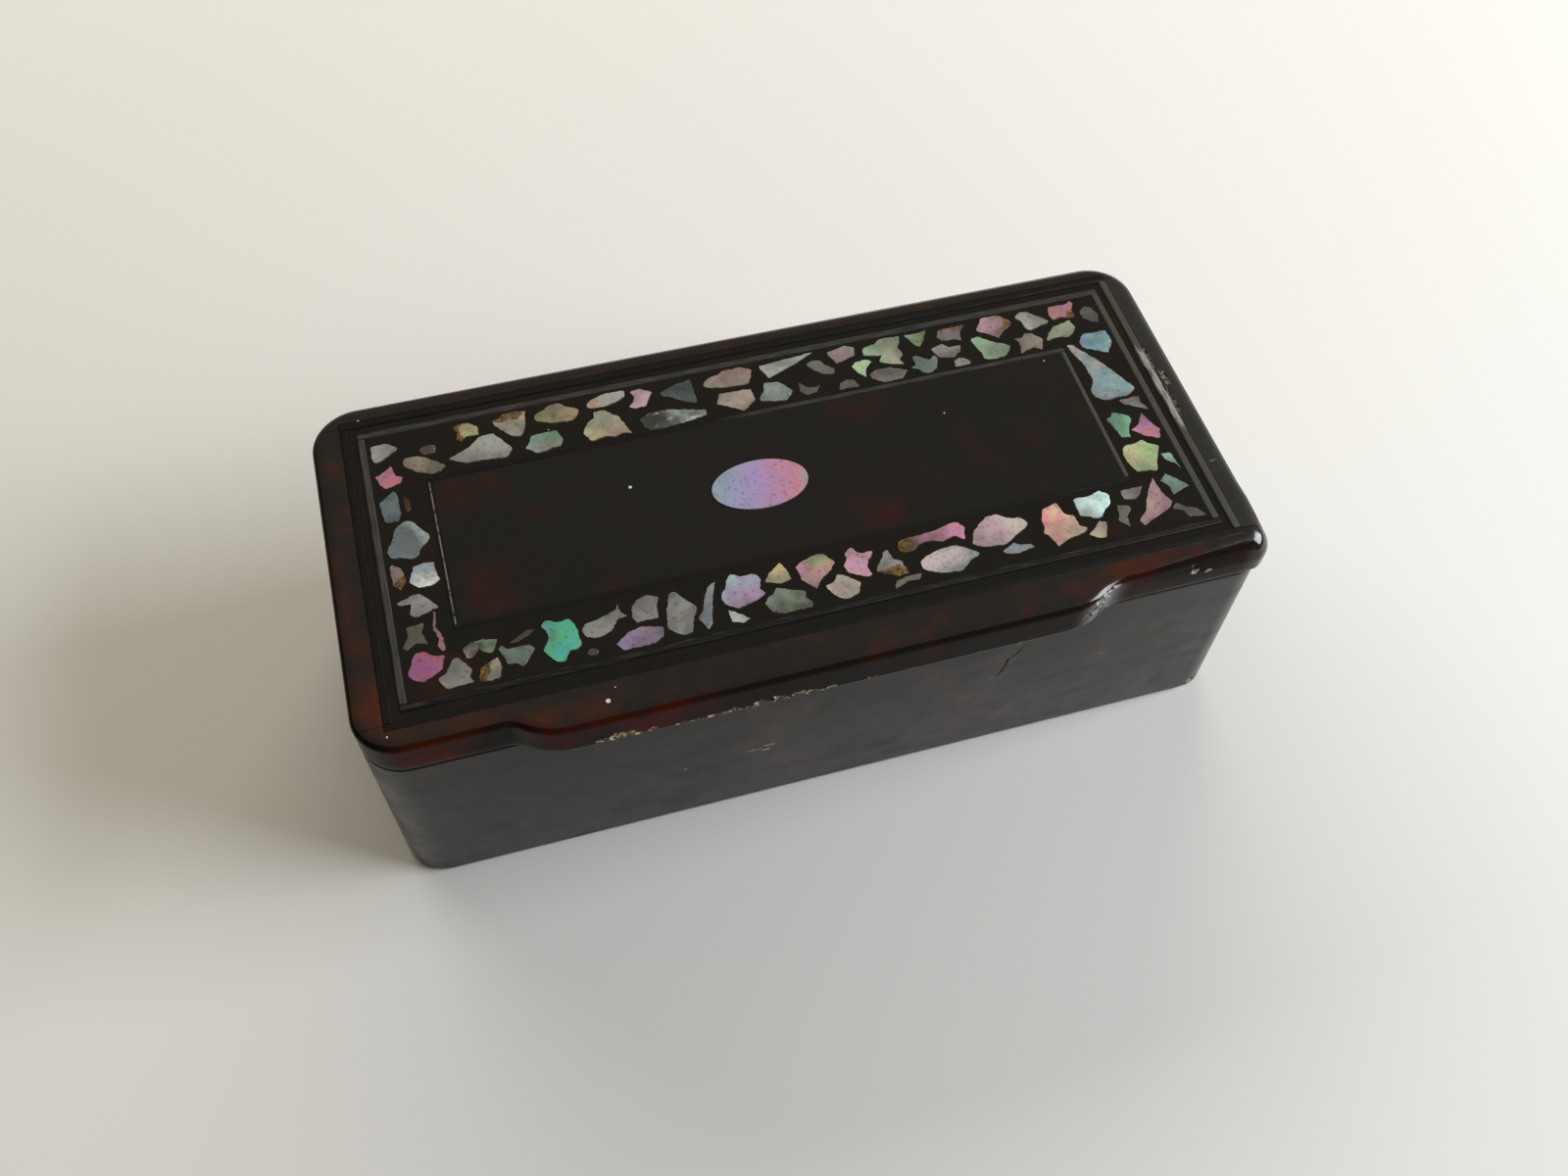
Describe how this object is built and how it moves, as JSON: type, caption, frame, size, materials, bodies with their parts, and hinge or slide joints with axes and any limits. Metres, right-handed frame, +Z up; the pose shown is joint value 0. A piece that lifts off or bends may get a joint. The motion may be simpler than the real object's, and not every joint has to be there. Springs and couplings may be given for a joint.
{
  "type": "hinged inlaid snuff box",
  "caption": "Small rectangular snuff box of dark lacquered board with a hinged lid, a thumb lip and a framed field of shell chips around a plain panel with an oval plaque.",
  "frame": {"origin": "centre of the flat underside of the body, on the surface that it stands on", "axes": "+X along the length, to the right seen from the front; -Y is the front with the thumb lip, +Y the hinge side; +Z up"},
  "size_m": [0.088, 0.042, 0.027],
  "materials": {
    "lacquer": "glossy near-black brown lacquer over pressed board, worn",
    "inside_lacquer": "satin red-brown lacquer",
    "stringing": "dull grey stringing under worn lacquer",
    "brass": "aged, unpolished",
    "shell": "polished iridescent shell, white, pink, green, blue and lilac",
    "shell_plaque": "polished iridescent shell, green to pink"
  },
  "bodies": {
    "body": {"floor_board": "inside_lacquer", "wall_front": "lacquer", "wall_right": "lacquer", "wall_rear": "lacquer", "wall_left": "lacquer", "hinge_pin": "brass"},
    "lid": {"border_ground": "lacquer", "centre_panel": "lacquer", "chip_front_01": "shell", "chip_front_02": "shell", "chip_front_03": "shell", "chip_front_04": "shell", "chip_front_05": "shell", "chip_front_06": "shell", "chip_front_07": "shell", "chip_front_08": "shell", "chip_front_09": "shell", "chip_front_10": "shell", "chip_front_11": "shell", "chip_left_01": "shell", "chip_rear_01": "shell", "chip_rear_02": "shell", "chip_rear_03": "shell", "chip_rear_04": "shell", "chip_rear_05": "shell", "chip_rear_06": "shell", "chip_rear_07": "shell", "chip_rear_08": "shell", "chip_rear_09": "shell", "chip_rear_10": "shell", "chip_rear_11": "shell", "chip_rear_12": "shell", "chip_rear_13": "shell", "chip_rear_14": "shell", "chip_rear_15": "shell", "chip_rear_16": "shell", "chip_right_01": "shell", "chip_right_02": "shell", "chip_right_03": "shell", "dark_fillet": "lacquer", "frame_front": "lacquer", "frame_left": "lacquer", "frame_rear": "lacquer", "frame_right": "lacquer", "lid_board": "lacquer", "lid_inner_panel": "inside_lacquer", "oval_plaque": "shell_plaque", "string_inner_front": "stringing", "string_inner_left": "stringing", "string_inner_rear": "stringing", "string_inner_right": "stringing", "string_outer_front": "stringing", "string_outer_left": "stringing", "string_outer_rear": "stringing", "string_outer_right": "stringing", "string_panel_front": "stringing", "string_panel_left": "stringing", "string_panel_rear": "stringing", "string_panel_right": "stringing"}
  },
  "joints": [
    {"name": "lid_hinge", "type": "hinge", "parent": "body", "child": "lid", "pos_m": [0, 0.01891, 0.0228], "axis": [-1, 0, 0], "range_deg": [0, 105]}
  ]
}
